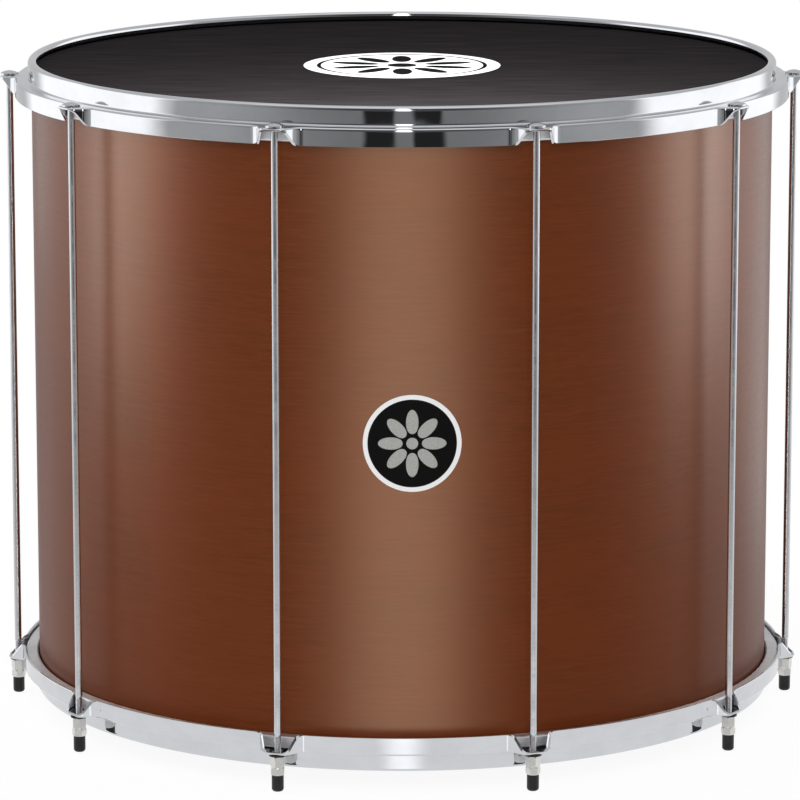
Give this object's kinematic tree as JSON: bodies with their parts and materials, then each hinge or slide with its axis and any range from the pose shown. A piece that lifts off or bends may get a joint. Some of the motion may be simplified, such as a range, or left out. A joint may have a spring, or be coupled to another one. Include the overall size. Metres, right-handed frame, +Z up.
{
  "type": "surdo",
  "caption": "Deep wooden bass drum with a head at each end, pressed chrome hoops and full-length tension rods with rubber feet.",
  "frame": {"origin": "on the drum's axis, level with the feet of the rod caps it stands on", "axes": "+Z up along the drum's axis towards the batter head, -Y towards the badge at the front"},
  "size_m": [0.6618, 0.6362, 0.5398],
  "materials": {
    "shell_wood": "satin stain",
    "head_film": "matte",
    "hoop_chrome": "polished",
    "rod_chrome": "polished",
    "flesh_hoop_metal": "satin",
    "nut_steel": "plated",
    "washer_black": "matte",
    "cap_rubber": "matte",
    "badge_plate": "gloss"
  },
  "bodies": {
    "drum_frame": {"top_hoop": "hoop_chrome", "top_flesh_hoop": "flesh_hoop_metal", "tension_rod_01": "rod_chrome", "tension_rod_02": "rod_chrome", "tension_rod_03": "rod_chrome", "tension_rod_04": "rod_chrome", "tension_rod_05": "rod_chrome", "tension_rod_06": "rod_chrome", "tension_rod_07": "rod_chrome", "tension_rod_08": "rod_chrome", "tension_rod_09": "rod_chrome", "tension_rod_10": "rod_chrome", "rod_cap_01": "cap_rubber", "rod_cap_02": "cap_rubber", "rod_cap_03": "cap_rubber", "rod_cap_04": "cap_rubber", "rod_cap_05": "cap_rubber", "rod_cap_06": "cap_rubber", "rod_cap_07": "cap_rubber", "rod_cap_08": "cap_rubber", "rod_cap_09": "cap_rubber", "rod_cap_10": "cap_rubber"},
    "shell_and_heads": {"shell": "shell_wood", "badge": "badge_plate", "batter_head": "head_film", "resonant_head": "head_film"},
    "bottom_ring": {"bottom_hoop": "hoop_chrome", "bottom_flesh_hoop": "flesh_hoop_metal", "washer_01": "washer_black", "washer_02": "washer_black", "washer_03": "washer_black", "washer_04": "washer_black", "washer_05": "washer_black", "washer_06": "washer_black", "washer_07": "washer_black", "washer_08": "washer_black", "washer_09": "washer_black", "washer_10": "washer_black"},
    "nuts_01": {"tuning_nut_01": "nut_steel", "lock_nut_01": "nut_steel"},
    "nuts_02": {"tuning_nut_02": "nut_steel", "lock_nut_02": "nut_steel"},
    "nuts_03": {"tuning_nut_03": "nut_steel", "lock_nut_03": "nut_steel"},
    "nuts_04": {"tuning_nut_04": "nut_steel", "lock_nut_04": "nut_steel"},
    "nuts_05": {"tuning_nut_05": "nut_steel", "lock_nut_05": "nut_steel"},
    "nuts_06": {"tuning_nut_06": "nut_steel", "lock_nut_06": "nut_steel"},
    "nuts_07": {"tuning_nut_07": "nut_steel", "lock_nut_07": "nut_steel"},
    "nuts_08": {"tuning_nut_08": "nut_steel", "lock_nut_08": "nut_steel"},
    "nuts_09": {"tuning_nut_09": "nut_steel", "lock_nut_09": "nut_steel"},
    "nuts_10": {"tuning_nut_10": "nut_steel", "lock_nut_10": "nut_steel"}
  },
  "joints": [
    {"name": "bottom_hoop_draw", "type": "slide", "parent": "drum_frame", "child": "bottom_ring", "axis": [0, 0, 1], "range_m": [0, 0.006]},
    {"name": "shell_settle", "type": "slide", "parent": "drum_frame", "child": "shell_and_heads", "axis": [0, 0, 1], "range_m": [0, 0.003]},
    {"name": "nut_turn_01", "type": "hinge", "parent": "bottom_ring", "child": "nuts_01", "pos_m": [0.09994, -0.30757, 0.021], "axis": [0, 0, 1], "range_deg": [0, 2040]},
    {"name": "nut_turn_02", "type": "hinge", "parent": "bottom_ring", "child": "nuts_02", "pos_m": [0.26164, -0.19009, 0.021], "axis": [0, 0, 1], "range_deg": [0, 2040]},
    {"name": "nut_turn_03", "type": "hinge", "parent": "bottom_ring", "child": "nuts_03", "pos_m": [0.3234, 0, 0.021], "axis": [0, 0, 1], "range_deg": [0, 2040]},
    {"name": "nut_turn_04", "type": "hinge", "parent": "bottom_ring", "child": "nuts_04", "pos_m": [0.26164, 0.19009, 0.021], "axis": [0, 0, 1], "range_deg": [0, 2040]},
    {"name": "nut_turn_05", "type": "hinge", "parent": "bottom_ring", "child": "nuts_05", "pos_m": [0.09994, 0.30757, 0.021], "axis": [0, 0, 1], "range_deg": [0, 2040]},
    {"name": "nut_turn_06", "type": "hinge", "parent": "bottom_ring", "child": "nuts_06", "pos_m": [-0.09994, 0.30757, 0.021], "axis": [0, 0, 1], "range_deg": [0, 2040]},
    {"name": "nut_turn_07", "type": "hinge", "parent": "bottom_ring", "child": "nuts_07", "pos_m": [-0.26164, 0.19009, 0.021], "axis": [0, 0, 1], "range_deg": [0, 2040]},
    {"name": "nut_turn_08", "type": "hinge", "parent": "bottom_ring", "child": "nuts_08", "pos_m": [-0.3234, 0, 0.021], "axis": [0, 0, 1], "range_deg": [0, 2040]},
    {"name": "nut_turn_09", "type": "hinge", "parent": "bottom_ring", "child": "nuts_09", "pos_m": [-0.26164, -0.19009, 0.021], "axis": [0, 0, 1], "range_deg": [0, 2040]},
    {"name": "nut_turn_10", "type": "hinge", "parent": "bottom_ring", "child": "nuts_10", "pos_m": [-0.09994, -0.30757, 0.021], "axis": [0, 0, 1], "range_deg": [0, 2040]}
  ],
  "couplings": [
    {"joint": "shell_settle", "follows": "bottom_hoop_draw", "ratio": 0.5},
    {"joint": "nut_turn_01", "follows": "bottom_hoop_draw", "rad_per_m": 5927.5},
    {"joint": "nut_turn_02", "follows": "bottom_hoop_draw", "rad_per_m": 5927.5},
    {"joint": "nut_turn_03", "follows": "bottom_hoop_draw", "rad_per_m": 5927.5},
    {"joint": "nut_turn_04", "follows": "bottom_hoop_draw", "rad_per_m": 5927.5},
    {"joint": "nut_turn_05", "follows": "bottom_hoop_draw", "rad_per_m": 5927.5},
    {"joint": "nut_turn_06", "follows": "bottom_hoop_draw", "rad_per_m": 5927.5},
    {"joint": "nut_turn_07", "follows": "bottom_hoop_draw", "rad_per_m": 5927.5},
    {"joint": "nut_turn_08", "follows": "bottom_hoop_draw", "rad_per_m": 5927.5},
    {"joint": "nut_turn_09", "follows": "bottom_hoop_draw", "rad_per_m": 5927.5},
    {"joint": "nut_turn_10", "follows": "bottom_hoop_draw", "rad_per_m": 5927.5}
  ]
}
